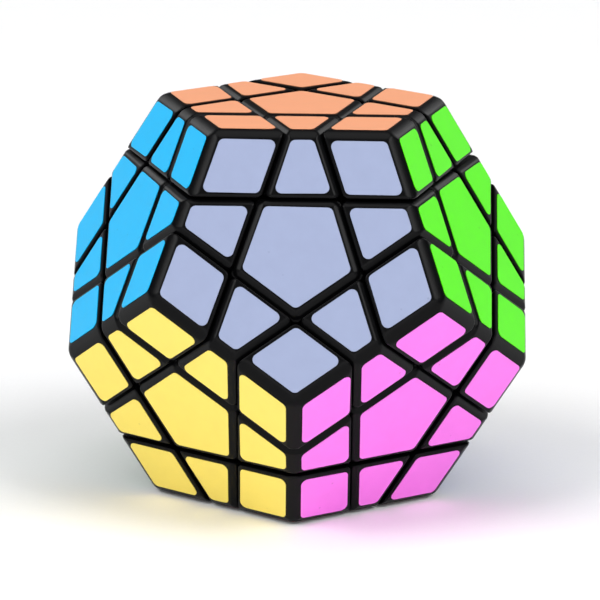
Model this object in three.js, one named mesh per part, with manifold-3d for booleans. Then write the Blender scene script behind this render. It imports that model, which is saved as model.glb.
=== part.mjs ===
// Dodecahedron twisty puzzle: twelve five-sided faces, each on a layer that turns about its own axis.
// Millimetres, +Z up. The origin is the puzzle's centre, where all twelve layer axes meet.
// The puzzle stands on face D; face U is on top and face F looks along -Y.
//
// Sixty-two pieces of three kinds show: a centre on each of the twelve faces, an edge on each of the
// thirty sides and a corner on each of the twenty vertices. Edges hook under the centres and corners
// hook under the edges, and screws hold the centres to the core.
// Layers that share no piece can turn about the core together, and U, DR and DBL are such a set.
import * as THREE from "three";
import { ConvexGeometry } from "three/addons/geometries/ConvexGeometry.js";
import { mergeVertices } from "three/addons/utils/BufferGeometryUtils.js";
import Module from "manifold-3d";

// Driving dimensions
const EDGE_LENGTH = 30; // side of each pentagonal face
const PLATE_DEPTH = 2.5; // from a face down to the ball that the feet turn under
const CUT_ANGLE = THREE.MathUtils.degToRad(42.3); // from a layer's axis to where its cut meets that ball
const HOOK_ANGLE = THREE.MathUtils.degToRad(50); // from a layer's axis to the sides of its feet
const FOOT_DEPTH = 6.8; // thickness of the feet, measured towards the centre
const GAP = 0.4; // between any two neighbouring pieces
const FIT_CLEARANCE = 0.3; // round a screw, a spigot or a cap's seat
const GROOVE_CHAMFER = 1.1; // width of the chamfer along the cuts
const RIDGE_CHAMFER = 1.6; // width of the chamfer along the puzzle's thirty sides
const STALK_CLEARANCE = 0.6; // from a centre's stalk to the feet beside it
const STALK_WALL = 1.3; // round the spring's bore
const SPRING_SEAT = 1.8; // floor of the spring's bore
const CAP_THICKNESS = 1.1;
const SPIGOT_LENGTH = 1.0; // of the cap's spigot in the spring's bore
const SPIGOT_WALL = 0.9;
const SHAFT_RADIUS = 1.3; // of the centre screw
const HEAD_HEIGHT = 1.6;
const HEAD_CLEARANCE = 0.4; // from the screw's head to the wall round it and the spigot over it
const SLOT_WIDTH = 0.8; // of the cross in the screw's head
const SLOT_DEPTH = 0.9;
const SLOT_REACH = 1.2; // length of a slot, in head radii
const HEAD_RIM = 0.4; // width of the bevel round the screw's head
const CORE_WALL = 3.0;
const BOSS_RADIUS = 3.6; // inside the core, round each screw
const BOSS_LENGTH = 5.0;

// Fineness of round surfaces
const BALL_STEPS = 28;
const CONE_STEPS = 36;
const PIN_STEPS = 18;

// Tolerances
const SAME_POINT = 1e-4;
const ON_PLANE = 1e-6;
const SAME_COSINE = 0.01;

// A regular dodecahedron's own proportions
const FACE_TILT = Math.atan(0.5); // of the ring faces' normals above or below the horizontal
const INRADIUS = EDGE_LENGTH * 1.113516364;
const CIRCUMRADIUS = EDGE_LENGTH * 1.401258538;
const NEIGHBOUR_COSINE = 1 / Math.sqrt(5); // between the axes of two faces that share a side
const NEIGHBOUR_ANGLE = Math.acos(NEIGHBOUR_COSINE);

// Everything else follows
const FOOT_BALL = INRADIUS - PLATE_DEPTH;
const CUT_HEIGHT = FOOT_BALL * Math.cos(CUT_ANGLE);
const CORE_BALL = FOOT_BALL - FOOT_DEPTH;
const CORE_RADIUS = CORE_BALL - GAP / 2;
const STALK_RADIUS = CORE_BALL * Math.sin(NEIGHBOUR_ANGLE - HOOK_ANGLE) - STALK_CLEARANCE;
const BORE_RADIUS = STALK_RADIUS - STALK_WALL;
const HEAD_RADIUS = BORE_RADIUS - HEAD_CLEARANCE;
const BORE_FLOOR = CORE_BALL + GAP / 2 + SPRING_SEAT;
const CAP_SEAT = INRADIUS - CAP_THICKNESS;
const PLATE_TOP = CAP_SEAT - FIT_CLEARANCE;
const HEAD_TOP = CAP_SEAT - SPIGOT_LENGTH - HEAD_CLEARANCE;
const BOSS_END = CORE_RADIUS - CORE_WALL - BOSS_LENGTH;
const SCREW_END = BOSS_END + FIT_CLEARANCE;
const THROUGH = 2 * CIRCUMRADIUS; // longer than any cut has to be

// Each face's outward normal, from its turn about Z and its tilt
const ringNormal = (degrees, tilt) => {
  const turn = THREE.MathUtils.degToRad(degrees);
  const out = Math.cos(tilt);
  return new THREE.Vector3(out * Math.sin(turn), -out * Math.cos(turn), Math.sin(tilt));
};
const RING_TURN = 72;
const FACES = { U: new THREE.Vector3(0, 0, 1), D: new THREE.Vector3(0, 0, -1) };
["F", "R", "BR", "BL", "L"].forEach((face, i) => {
  FACES[face] = ringNormal(i * RING_TURN, FACE_TILT);
});
["DR", "DBR", "DB", "DBL", "DL"].forEach((face, i) => {
  FACES[face] = ringNormal((i + 0.5) * RING_TURN, -FACE_TILT);
});
const FACE_NAMES = ["U", "F", "R", "BR", "BL", "L", "DR", "DBR", "DB", "DBL", "DL", "D"];
const TURNING_LAYERS = ["U", "DR", "DBL"];

const areNeighbours = (a, b) => Math.abs(FACES[a].dot(FACES[b]) - NEIGHBOUR_COSINE) < SAME_COSINE;
const neighboursOf = (face) => FACE_NAMES.filter((other) => areNeighbours(face, other));
const laterFaces = (face) => FACE_NAMES.slice(FACE_NAMES.indexOf(face) + 1);

const EDGES = FACE_NAMES.flatMap((a) =>
  laterFaces(a).filter((b) => areNeighbours(a, b)).map((b) => [a, b]),
);
const CORNERS = EDGES.flatMap(([a, b]) =>
  laterFaces(b).filter((c) => areNeighbours(a, c) && areNeighbours(b, c)).map((c) => [a, b, c]),
);

const wasm = await Module();
wasm.setup();

// A closed three.js geometry as a solid that can be joined and cut
const solidOf = (geometry) => {
  geometry.deleteAttribute("normal");
  geometry.deleteAttribute("uv");
  const merged = mergeVertices(geometry, SAME_POINT);
  return new wasm.Manifold(
    new wasm.Mesh({
      numProp: 3,
      vertProperties: merged.getAttribute("position").array,
      triVerts: new Uint32Array(merged.index.array),
    }),
  );
};

const geometryOf = (solid) => {
  const { vertProperties, triVerts } = solid.getMesh();
  const indexed = new THREE.BufferGeometry();
  indexed.setAttribute("position", new THREE.BufferAttribute(vertProperties, 3));
  indexed.setIndex(new THREE.BufferAttribute(triVerts, 1));
  const geometry = indexed.toNonIndexed();
  geometry.computeVertexNormals();
  return geometry;
};

const joined = (solids) => solids.reduce((whole, piece) => whole.add(piece));

// A geometry drawn about +Z, turned to stand on a face's axis
const alongAxis = (geometry, face) => {
  const turn = new THREE.Quaternion().setFromUnitVectors(FACES.U, FACES[face]);
  return solidOf(geometry.applyQuaternion(turn));
};

// A faceted round solid lies inside its true surface, which suits a piece. A cutter is made larger by
// this much, so that its facets lie outside the true surface and what turns in the cut stays free.
const cutterScale = (steps) => 1 / Math.cos(Math.PI / steps);

const ball = (radius) => solidOf(new THREE.SphereGeometry(radius, BALL_STEPS, BALL_STEPS / 2));
const ballCutter = (radius) => ball(radius * cutterScale(BALL_STEPS) ** 2);

const cylinder = (face, radius, low, high) => {
  const geometry = new THREE.CylinderGeometry(radius, radius, high - low, PIN_STEPS);
  geometry.rotateX(Math.PI / 2).translate(0, 0, (low + high) / 2);
  return alongAxis(geometry, face);
};

// The cone that bounds a layer's feet, with its side moved outwards by an offset
const footCone = (face, offset, scale = 1) => {
  const height = THROUGH;
  const geometry = new THREE.ConeGeometry(scale * height * Math.tan(HOOK_ANGLE), height, CONE_STEPS);
  geometry.rotateX(-Math.PI / 2).translate(0, 0, height / 2 - offset / Math.sin(HOOK_ANGLE));
  return alongAxis(geometry, face);
};

// The convex solid inside a list of planes, each a unit normal and its distance from the origin
const convexSolid = (planes) => {
  const points = [];
  const meet = new THREE.Matrix3();
  const isInside = (point) => planes.every(({ normal, height }) => normal.dot(point) < height + ON_PLANE);
  planes.forEach((a, i) => {
    planes.slice(i + 1).forEach((b, j) => {
      planes.slice(i + j + 2).forEach((c) => {
        const rows = [a.normal, b.normal, c.normal].flatMap((normal) => normal.toArray());
        meet.set(...rows);
        if (Math.abs(meet.determinant()) < ON_PLANE) return;
        const point = new THREE.Vector3(a.height, b.height, c.height).applyMatrix3(meet.invert());
        const isNew = points.every((other) => other.distanceTo(point) > SAME_POINT);
        if (isInside(point) && isNew) points.push(point);
      });
    });
  });
  return solidOf(new ConvexGeometry(points));
};

// The plane that cuts the edge where two planes meet, leaving a flat of the given width
const chamfer = (a, b, width) => {
  const sum = a.normal.clone().add(b.normal);
  const outerAngle = a.normal.angleTo(b.normal);
  const depth = (width / 2) * Math.tan(outerAngle / 2);
  return { normal: sum.clone().normalize(), height: (a.height + b.height) / sum.length() - depth };
};

// The part of the dodecahedron that lies in the given layers and in no other, up to a height
const blockInLayers = (layers, top = INRADIUS) => {
  const tops = layers.map((face) => ({ normal: FACES[face], height: top }));
  const inner = layers.map((face) => ({
    normal: FACES[face].clone().negate(),
    height: -(CUT_HEIGHT + GAP / 2),
  }));
  const outer = FACE_NAMES.filter((face) => !layers.includes(face)).map((face) => ({
    normal: FACES[face],
    height: CUT_HEIGHT - GAP / 2,
  }));
  // A single top plane leaves no cut of its own at the rim, so only the outer cuts meet it there.
  const cuts = layers.length === 1 ? outer : [...inner, ...outer];
  const grooves = tops.flatMap((face) =>
    cuts
      .filter((cut) => cut.normal.dot(face.normal) > SAME_COSINE - 1)
      .map((cut) => chamfer(face, cut, GROOVE_CHAMFER)),
  );
  const ridges = tops.flatMap((face, i) =>
    tops.slice(i + 1).map((other) => chamfer(face, other, RIDGE_CHAMFER)),
  );
  return convexSolid([...tops, ...inner, ...outer, ...grooves, ...ridges]);
};

const underFeet = ballCutter(CORE_BALL + GAP / 2);
const overFeet = ballCutter(FOOT_BALL + GAP / 2);
const footTop = ball(FOOT_BALL - GAP / 2);

// Everything between two heights along a direction
const slab = (direction, low, high) => {
  const box = new THREE.BoxGeometry(THROUGH, THROUGH, high - low).translate(0, 0, (low + high) / 2);
  return solidOf(box.applyQuaternion(new THREE.Quaternion().setFromUnitVectors(FACES.U, direction)));
};

// An edge or a corner: the head that shows, a neck, and the foot that hooks under its neighbours.
// The head's underside and the foot's are flat, and both clear the balls that they turn on.
const hookedPiece = (layers) => {
  const outwards = new THREE.Vector3();
  layers.forEach((face) => outwards.add(FACES[face]));
  outwards.normalize();
  const block = blockInLayers(layers);
  const head = block.intersect(slab(outwards, FOOT_BALL + GAP / 2, THROUGH));
  const neck = block.intersect(slab(outwards, 0, FOOT_BALL + GAP));
  const own = layers.reduce((rest, face) => rest.intersect(footCone(face, -GAP / 2)), neck.add(footTop));
  const others = neighboursOf(layers[0]).filter((face) => !layers.includes(face));
  const wider = cutterScale(CONE_STEPS);
  const clear = others.reduce((rest, face) => rest.subtract(footCone(face, GAP / 2, wider)), own);
  return geometryOf(head.add(clear.intersect(slab(outwards, CORE_BALL + GAP / 2, THROUGH))));
};

// A centre: a five-sided plate on a round stalk, bored for its screw and spring
const centrePiece = (face) => {
  const plate = blockInLayers([face], PLATE_TOP).subtract(overFeet);
  const stalk = cylinder(face, STALK_RADIUS, 0, PLATE_TOP).subtract(underFeet);
  const springBore = cylinder(face, BORE_RADIUS, BORE_FLOOR, THROUGH);
  const screwHole = cylinder(face, SHAFT_RADIUS + FIT_CLEARANCE, 0, THROUGH);
  return geometryOf(plate.add(stalk).subtract(springBore).subtract(screwHole));
};

// The cap that closes a centre: the visible tile, with a ring that drops into the spring's bore
const centreCap = (face) => {
  const below = { normal: FACES[face].clone().negate(), height: -CAP_SEAT };
  const tile = { normal: FACES[face], height: INRADIUS };
  const sides = neighboursOf(face).map((other) => ({
    normal: FACES[other],
    height: CUT_HEIGHT - GAP / 2,
  }));
  const rims = sides.map((side) => chamfer(tile, side, GROOVE_CHAMFER));
  const plate = convexSolid([below, tile, ...sides, ...rims]);
  const spigotRadius = BORE_RADIUS - FIT_CLEARANCE;
  const middle = CAP_SEAT + CAP_THICKNESS / 2;
  const spigot = cylinder(face, spigotRadius, CAP_SEAT - SPIGOT_LENGTH, middle);
  const hollow = cylinder(face, spigotRadius - SPIGOT_WALL, 0, CAP_SEAT);
  return geometryOf(plate.add(spigot).subtract(hollow));
};

// A pan-head screw with a cross slot, from the core's boss up to the head under the cap
const centreScrew = (face) => {
  const neck = HEAD_TOP - HEAD_HEIGHT;
  const profile = [
    [0, SCREW_END],
    [SHAFT_RADIUS, SCREW_END + SHAFT_RADIUS],
    [SHAFT_RADIUS, neck],
    [HEAD_RADIUS, neck],
    [HEAD_RADIUS, HEAD_TOP - HEAD_RIM],
    [HEAD_RADIUS - HEAD_RIM, HEAD_TOP],
    [0, HEAD_TOP],
  ].map(([x, y]) => new THREE.Vector2(x, y));
  const body = alongAxis(new THREE.LatheGeometry(profile, PIN_STEPS).rotateX(Math.PI / 2), face);
  const slotLength = SLOT_REACH * HEAD_RADIUS;
  const slots = [
    [slotLength, SLOT_WIDTH],
    [SLOT_WIDTH, slotLength],
  ].map(([x, y]) => {
    const box = new THREE.BoxGeometry(x, y, 2 * SLOT_DEPTH);
    return alongAxis(box.translate(0, 0, HEAD_TOP), face);
  });
  return geometryOf(body.subtract(joined(slots)));
};

// The core: a hollow ball with a boss for each screw. The nine centres that stay with it are joined on.
const coreWithFixedCentres = () => {
  const fixed = FACE_NAMES.filter((face) => !TURNING_LAYERS.includes(face));
  const plates = fixed.map((face) =>
    blockInLayers([face]).intersect(slab(FACES[face], FOOT_BALL + GAP / 2, THROUGH)),
  );
  const stalks = fixed.map((face) =>
    cylinder(face, STALK_RADIUS, CORE_RADIUS - CORE_WALL / 2, INRADIUS - CAP_THICKNESS),
  );
  const hollow = ball(CORE_RADIUS - CORE_WALL);
  const shell = ball(CORE_RADIUS).subtract(hollow);
  const bosses = TURNING_LAYERS.map((face) =>
    cylinder(face, BOSS_RADIUS, BOSS_END, CORE_RADIUS - CORE_WALL / 2),
  );
  const holes = TURNING_LAYERS.map((face) =>
    cylinder(face, SHAFT_RADIUS + FIT_CLEARANCE, 0, THROUGH),
  );
  return geometryOf(joined([shell, ...plates, ...stalks, ...bosses]).subtract(joined(holes)));
};

// Materials
const plastic = (color, roughness) =>
  new THREE.MeshStandardMaterial({ color, roughness, metalness: 0 });
const materials = {
  shell: plastic(0x141416, 0.38),
  core: plastic(0x26282b, 0.5),
  steel: new THREE.MeshStandardMaterial({ color: 0xb9bcc0, roughness: 0.32, metalness: 1 }),
};

const puzzle = new THREE.Group();

const addPiece = (name, geometry, material, quaternion = new THREE.Quaternion()) => {
  const mesh = new THREE.Mesh(geometry, material.clone());
  mesh.name = name;
  mesh.quaternion.copy(quaternion);
  puzzle.add(mesh);
};

// The turn that carries one pair of neighbouring faces onto another
const turnBetween = ([a, b], [c, d]) => {
  const basis = (p, q) =>
    new THREE.Matrix4().makeBasis(FACES[p], FACES[q], FACES[p].clone().cross(FACES[q]));
  const matrix = basis(c, d).multiply(basis(a, b).invert());
  return new THREE.Quaternion().setFromRotationMatrix(matrix);
};

// Faces round a corner, in the order that runs anticlockwise seen from outside
const anticlockwise = ([a, b, c]) =>
  FACES[a].clone().cross(FACES[b]).dot(FACES[c]) > 0 ? [a, b, c] : [a, c, b];

const firstEdge = EDGES[0];
const edgeGeometry = hookedPiece(firstEdge);
EDGES.forEach((faces) => {
  addPiece(`edge_${faces.join("_")}`, edgeGeometry, materials.shell, turnBetween(firstEdge, faces));
});

const firstCorner = anticlockwise(CORNERS[0]);
const cornerGeometry = hookedPiece(firstCorner);
CORNERS.forEach((faces) => {
  const turn = turnBetween(firstCorner, anticlockwise(faces));
  addPiece(`corner_${faces.join("_")}`, cornerGeometry, materials.shell, turn);
});

const centreGeometry = centrePiece("U");
const capGeometry = centreCap("U");
const screwGeometry = centreScrew("U");
TURNING_LAYERS.forEach((face) => {
  const turn = turnBetween(["U", neighboursOf("U")[0]], [face, neighboursOf(face)[0]]);
  addPiece(`centre_${face}`, centreGeometry, materials.shell, turn);
  addPiece(`centre_cap_${face}`, capGeometry, materials.shell, turn);
  addPiece(`centre_screw_${face}`, screwGeometry, materials.steel, turn);
});
addPiece("core_with_fixed_centres", coreWithFixedCentres(), materials.core);

export default puzzle;
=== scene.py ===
"""Dodecahedron twisty puzzle: the visual model.

Shapes are worked out in millimetres and scaled to metres as their meshes are made. The origin is the
puzzle's centre, +Z is up through face U, and face F looks along -Y.
"""

import sys
import logging
import math
import random
from dataclasses import dataclass
from enum import Enum
from itertools import combinations
from typing import Any, Callable, Iterable, Sequence

import bmesh
import bpy
from mathutils import Matrix, Vector


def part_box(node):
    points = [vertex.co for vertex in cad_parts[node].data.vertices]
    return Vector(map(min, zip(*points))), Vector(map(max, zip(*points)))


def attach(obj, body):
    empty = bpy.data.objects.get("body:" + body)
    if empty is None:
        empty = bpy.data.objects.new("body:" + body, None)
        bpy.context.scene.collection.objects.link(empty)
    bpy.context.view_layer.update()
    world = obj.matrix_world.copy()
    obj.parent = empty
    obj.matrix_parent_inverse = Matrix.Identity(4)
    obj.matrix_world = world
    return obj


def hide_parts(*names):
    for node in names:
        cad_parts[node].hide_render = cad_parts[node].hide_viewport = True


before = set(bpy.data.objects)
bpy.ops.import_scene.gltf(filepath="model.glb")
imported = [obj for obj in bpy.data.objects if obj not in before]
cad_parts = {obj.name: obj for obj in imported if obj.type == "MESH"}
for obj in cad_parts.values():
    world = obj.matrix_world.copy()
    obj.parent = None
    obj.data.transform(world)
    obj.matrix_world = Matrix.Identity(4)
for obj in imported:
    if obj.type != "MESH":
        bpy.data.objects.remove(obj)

logging.basicConfig(level=logging.INFO, format="%(message)s", stream=sys.stdout)
log = logging.getLogger("puzzle")

MM = 0.001
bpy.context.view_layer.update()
BRING_TO_METRES = Matrix.Scale(MM, 4)
TOP_LAYER_TURN = math.radians(1.5)  # how far the top layer was left turned, within its play
SIDE_TILT = math.degrees(math.atan(0.5))  # how far the ten faces round the sides lean up or down
COS_BETWEEN = 1 / math.sqrt(5)  # the cosine of the angle between the normals of two touching faces
SHARP_ANGLE = math.radians(34.0)  # an edge that turns by more than this stays sharp
SAME_POINT = 1e-4  # points nearer than this, in millimetres, are one
FLAT_ANGLE = math.radians(0.5)  # facets that meet at less than this are one flat
RGBA = {"data_type": "RGBA"}  # a Mix node's setting for colours

Colour = tuple[float, float, float, float]


# --- The puzzle's rule -------------------------------------------------------------------------------


class Face(Enum):
    """A face: how far its normal is turned about Z and how far it is tilted up, in degrees."""

    U = (0.0, 90.0)
    F = (0.0, SIDE_TILT)
    R = (72.0, SIDE_TILT)
    BR = (144.0, SIDE_TILT)
    BL = (216.0, SIDE_TILT)
    L = (288.0, SIDE_TILT)
    DR = (36.0, -SIDE_TILT)
    DBR = (108.0, -SIDE_TILT)
    DB = (180.0, -SIDE_TILT)
    DBL = (252.0, -SIDE_TILT)
    DL = (324.0, -SIDE_TILT)
    D = (0.0, -90.0)

    @property
    def normal(self) -> Vector:
        """The face's outward unit normal."""
        turn, tilt = (math.radians(angle) for angle in self.value)
        return Vector((math.cos(tilt) * math.sin(turn), -math.cos(tilt) * math.cos(turn), math.sin(tilt)))

    def touches(self, other: "Face") -> bool:
        """Whether the two faces share a side."""
        return math.isclose(self.normal.dot(other.normal), COS_BETWEEN, abs_tol=0.01)

    @property
    def neighbours(self) -> list["Face"]:
        """The five faces that share a side with this one."""
        return [other for other in Face if self.touches(other)]


class Body(Enum):
    """What a piece rides on: the core, or one of the three layers that turn."""

    CORE = "core"
    U = "layer_U"
    DR = "layer_DR"
    DBL = "layer_DBL"

    @staticmethod
    def of(faces: Iterable[Face]) -> "Body":
        """Find the body that carries a piece: the turning layer among the faces it shows on, or the core."""
        return next((Body[face.name] for face in faces if face.name in Body.__members__), Body.CORE)


@dataclass(frozen=True)
class Proportions:
    """The sizes that all the pieces share, in millimetres."""

    inradius: float
    plate_depth: float = 2.5
    cut_angle: float = math.radians(42.3)
    hook_angle: float = math.radians(50.0)
    foot_depth: float = 6.8
    gap: float = 0.4
    clearance: float = 0.3
    cap_thickness: float = 1.1

    @property
    def foot_ball(self) -> float:
        """The ball that the feet turn under."""
        return self.inradius - self.plate_depth

    @property
    def cut_height(self) -> float:
        """From the centre to each layer's cut."""
        return self.foot_ball * math.cos(self.cut_angle)

    @property
    def core_ball(self) -> float:
        """The ball that the feet turn on."""
        return self.foot_ball - self.foot_depth

    @property
    def stalk_radius(self) -> float:
        """The round stalk under a centre, which the feet pass."""
        return self.core_ball * math.sin(math.acos(COS_BETWEEN) - self.hook_angle) - 2 * self.clearance

    @property
    def cap_seat(self) -> float:
        """The height of a cap's underside."""
        return self.inradius - self.cap_thickness

    @property
    def beyond(self) -> float:
        """A distance from the centre that no piece reaches."""
        return 3 * self.inradius


def faces_of(count: int) -> list[tuple[Face, ...]]:
    """List each group of faces that meet, 2 at a side or 3 at a vertex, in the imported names' order."""
    groups = combinations(Face, count)
    return [group for group in groups if all(a.touches(b) for a, b in combinations(group, 2))]


# --- Mesh tools --------------------------------------------------------------------------------------


class Wall(Enum):
    """What a flat of a block is."""

    TOP = "a face of the puzzle"
    CUT = "a cut between layers"
    UNDER = "an underside"


@dataclass(frozen=True)
class Flat:
    """A plane that bounds a block: everything kept has normal . point below height."""

    normal: Vector
    height: float
    wall: Wall


def new_mesh(name: str, bm: bmesh.types.BMesh) -> bpy.types.Mesh:
    """Turn a bmesh into a mesh.

    Args:
        name: The mesh's name.
        bm: The bmesh, which is freed.

    Returns:
        The mesh.
    """
    mesh = bpy.data.meshes.new(name)
    bm.to_mesh(mesh)
    bm.free()
    return mesh


def shaped(mesh: bpy.types.Mesh, modifiers: Sequence[tuple[str, dict[str, Any]]]) -> bpy.types.Mesh:
    """Make the plain mesh that a stack of modifiers gives.

    Args:
        mesh: The mesh to start from, which is used up.
        modifiers: The kind of each modifier and its settings. A mesh given as "object" is used up too.

    Returns:
        A new mesh.
    """
    scene = bpy.context.scene
    helpers = [bpy.data.objects.new("bench", mesh)]
    for kind, settings in modifiers:
        modifier = helpers[0].modifiers.new(kind, kind)
        for key, value in settings.items():
            if isinstance(value, bpy.types.Mesh):
                value = bpy.data.objects.new("bench_tool", value)
                helpers.append(value)
            setattr(modifier, key, value)
    for helper in helpers:
        scene.collection.objects.link(helper)
    depsgraph = bpy.context.evaluated_depsgraph_get()
    result = bpy.data.meshes.new_from_object(helpers[0].evaluated_get(depsgraph))
    for helper in helpers:
        data = helper.data
        bpy.data.objects.remove(helper)
        bpy.data.meshes.remove(data)
    return result


def combine(mesh: bpy.types.Mesh, operation: str, *tools: bpy.types.Mesh) -> bpy.types.Mesh:
    """Join (UNION), cut (DIFFERENCE) or keep the overlap (INTERSECT) of closed meshes, tool by tool."""
    settings = [("BOOLEAN", {"operation": operation, "solver": "MANIFOLD", "object": tool}) for tool in tools]
    return shaped(mesh, settings)


def smoothed(mesh: bpy.types.Mesh) -> bpy.types.Mesh:
    """Shade roundings smooth and flats flat.

    Args:
        mesh: The mesh to shade, which is used up.

    Returns:
        A new mesh whose normals follow its larger faces.
    """
    mesh.shade_smooth()
    mesh.set_sharp_from_angle(angle=SHARP_ANGLE)
    return shaped(mesh, [("WEIGHTED_NORMAL", {"keep_sharp": True, "weight": 80})])


def along(direction: Vector) -> Matrix:
    """The turn that brings +Z onto a direction."""
    return direction.to_track_quat("Z", "Y").to_matrix().to_4x4()


def lathed(profile: Sequence[tuple[float, float]], steps: int, axis: Vector) -> bpy.types.Mesh:
    """Spin an outline about an axis.

    Args:
        profile: Radius and height of each point from the lowest to the highest, both ends at radius 0.
        steps: How many sides it has.
        axis: The direction that it stands along.

    Returns:
        A closed mesh.
    """
    bm = bmesh.new()
    foot = bm.verts.new((0, 0, profile[0][1]))
    head = bm.verts.new((0, 0, profile[-1][1]))
    rings = []
    for radius, height in profile[1:-1]:
        angles = (math.tau * step / steps for step in range(steps))
        rings.append([bm.verts.new((radius * math.cos(a), radius * math.sin(a), height)) for a in angles])
    for step in range(steps):
        after = (step + 1) % steps
        bm.faces.new((foot, rings[0][after], rings[0][step]))
        bm.faces.new((head, rings[-1][step], rings[-1][after]))
        for low, high in zip(rings, rings[1:]):
            bm.faces.new((low[step], low[after], high[after], high[step]))
    bm.transform(along(axis))
    return new_mesh("lathed", bm)


def rod(radius: float, low: float, high: float, axis: Vector, steps: int = 48) -> bpy.types.Mesh:
    """A round rod between two heights along an axis."""
    return lathed([(0, low), (radius, low), (radius, high), (0, high)], steps, axis)


def ball(radius: float, steps: int = 96) -> bpy.types.Mesh:
    """A ball about the puzzle's centre."""
    turns = [math.pi * step / (steps // 2) for step in range(steps // 2 + 1)]
    return lathed([(radius * math.sin(t), -radius * math.cos(t)) for t in turns], steps, Vector((0, 0, 1)))


def slab(direction: Vector, low: float, high: float, half_width: float = 90.0) -> bpy.types.Mesh:
    """Make a square block between two heights along a direction.

    Args:
        direction: The direction.
        low: The height of its underside.
        high: The height of its top.
        half_width: Half its side, which is more than the puzzle's.

    Returns:
        A closed mesh.
    """
    bm = bmesh.new()
    bmesh.ops.create_cube(bm, size=1.0)
    stretch = Matrix.Diagonal((2 * half_width, 2 * half_width, high - low, 1.0))
    bm.transform(along(direction) @ Matrix.Translation((0, 0, (low + high) / 2)) @ stretch)
    return new_mesh("slab", bm)


def corners_inside(flats: Sequence[Flat]) -> list[Vector]:
    """Find the corners of the convex block inside some planes.

    Args:
        flats: The planes.

    Returns:
        Each point where three planes meet and that none of the others cuts off.
    """
    points: list[Vector] = []
    for trio in combinations(flats, 3):
        rows = Matrix([flat.normal for flat in trio])
        if math.isclose(rows.determinant(), 0.0, abs_tol=1e-6):
            continue  # two of them are parallel, or all three share a direction
        point = rows.inverted() @ Vector([flat.height for flat in trio])
        inside = all(flat.normal.dot(point) < flat.height + SAME_POINT / 10 for flat in flats)
        if inside and all((point - other).length > SAME_POINT for other in points):
            points.append(point)
    return points


def rounded_block(
    flats: Sequence[Flat], tangents: Callable[[Wall, Wall], float], segments: int = 4
) -> bpy.types.Mesh:
    """Make the convex block inside some planes, with its edges rounded.

    Args:
        flats: The planes.
        tangents: Gives how far from an edge its rounding starts, from the two walls that meet there.
        segments: How many steps a rounding has.

    Returns:
        A closed mesh.
    """
    bm = bmesh.new()
    for point in corners_inside(flats):
        bm.verts.new(point)
    bmesh.ops.convex_hull(bm, input=bm.verts)
    bmesh.ops.dissolve_limit(bm, angle_limit=FLAT_ANGLE, verts=bm.verts, edges=bm.edges)
    bmesh.ops.recalc_face_normals(bm, faces=bm.faces)
    weights = bm.edges.layers.float.new("bevel_weight_edge")
    widths = {}
    for edge in bm.edges:
        sides = (max(flats, key=lambda flat: flat.normal.dot(side.normal)) for side in edge.link_faces)
        widths[edge] = tangents(*(flat.wall for flat in sides))
    widest = max(widths.values())
    for edge, width in widths.items():
        edge[weights] = width / widest
    settings = {"limit_method": "WEIGHT", "width": widest, "segments": segments}
    return shaped(new_mesh("block", bm), [("BEVEL", settings)])


def turn_between(start: Sequence[Face], end: Sequence[Face]) -> Matrix:
    """Work out the turn that carries one pair of touching faces onto another.

    Args:
        start: The pair to turn, of which any third face is left out.
        end: The pair to bring it onto.

    Returns:
        The turn about the puzzle's centre.
    """

    def basis(faces: Sequence[Face]) -> Matrix:
        """Columns along both normals and across them."""
        a, b = faces[0].normal, faces[1].normal
        return Matrix((a, b, a.cross(b))).transposed()

    return (basis(end) @ basis(start).inverted()).to_4x4()


def in_turn(faces: Sequence[Face]) -> Sequence[Face]:
    """The faces round a corner, in the order that runs anticlockwise seen from outside."""
    a, b, c = faces
    return faces if a.normal.cross(b.normal).dot(c.normal) > 0 else (a, c, b)


def add_piece(
    name: str, mesh: bpy.types.Mesh, material: bpy.types.Material, body: Body, slot: str, *nodes: str
) -> bpy.types.Object:
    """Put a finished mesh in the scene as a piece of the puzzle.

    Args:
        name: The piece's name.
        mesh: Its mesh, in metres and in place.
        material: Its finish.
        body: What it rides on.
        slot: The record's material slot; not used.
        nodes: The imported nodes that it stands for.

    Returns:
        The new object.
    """
    if body is Body.U:
        mesh.transform(Matrix.Rotation(TOP_LAYER_TURN, 4, "Z"))
    mesh.name = name
    mesh.materials.clear()
    mesh.materials.append(material)
    piece = bpy.data.objects.new(name, mesh)
    bpy.context.scene.collection.objects.link(piece)
    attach(piece, body.value)
    if nodes:
        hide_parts(*nodes)
    return piece


# --- Nodes -------------------------------------------------------------------------------------------


def add_node(
    tree: bpy.types.NodeTree, kind: str, settings: dict[str, Any] | None = None, inputs: dict | None = None
) -> bpy.types.Node:
    """Add a node with its settings, its values and its links.

    Args:
        tree: The tree to add it to.
        kind: The node's type.
        settings: Properties to set on it.
        inputs: A value or an output socket for each of its inputs, by name or number.

    Returns:
        The new node.
    """
    node = tree.nodes.new(kind)
    for key, value in (settings or {}).items():
        setattr(node, key, value)
    for key, value in (inputs or {}).items():
        if isinstance(value, (list, tuple)) and value and isinstance(value[0], bpy.types.NodeSocket):
            for source in value:
                tree.links.new(source, node.inputs[key])
        elif isinstance(value, bpy.types.NodeSocket):
            tree.links.new(value, node.inputs[key])
        else:
            node.inputs[key].default_value = value
    return node


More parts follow.
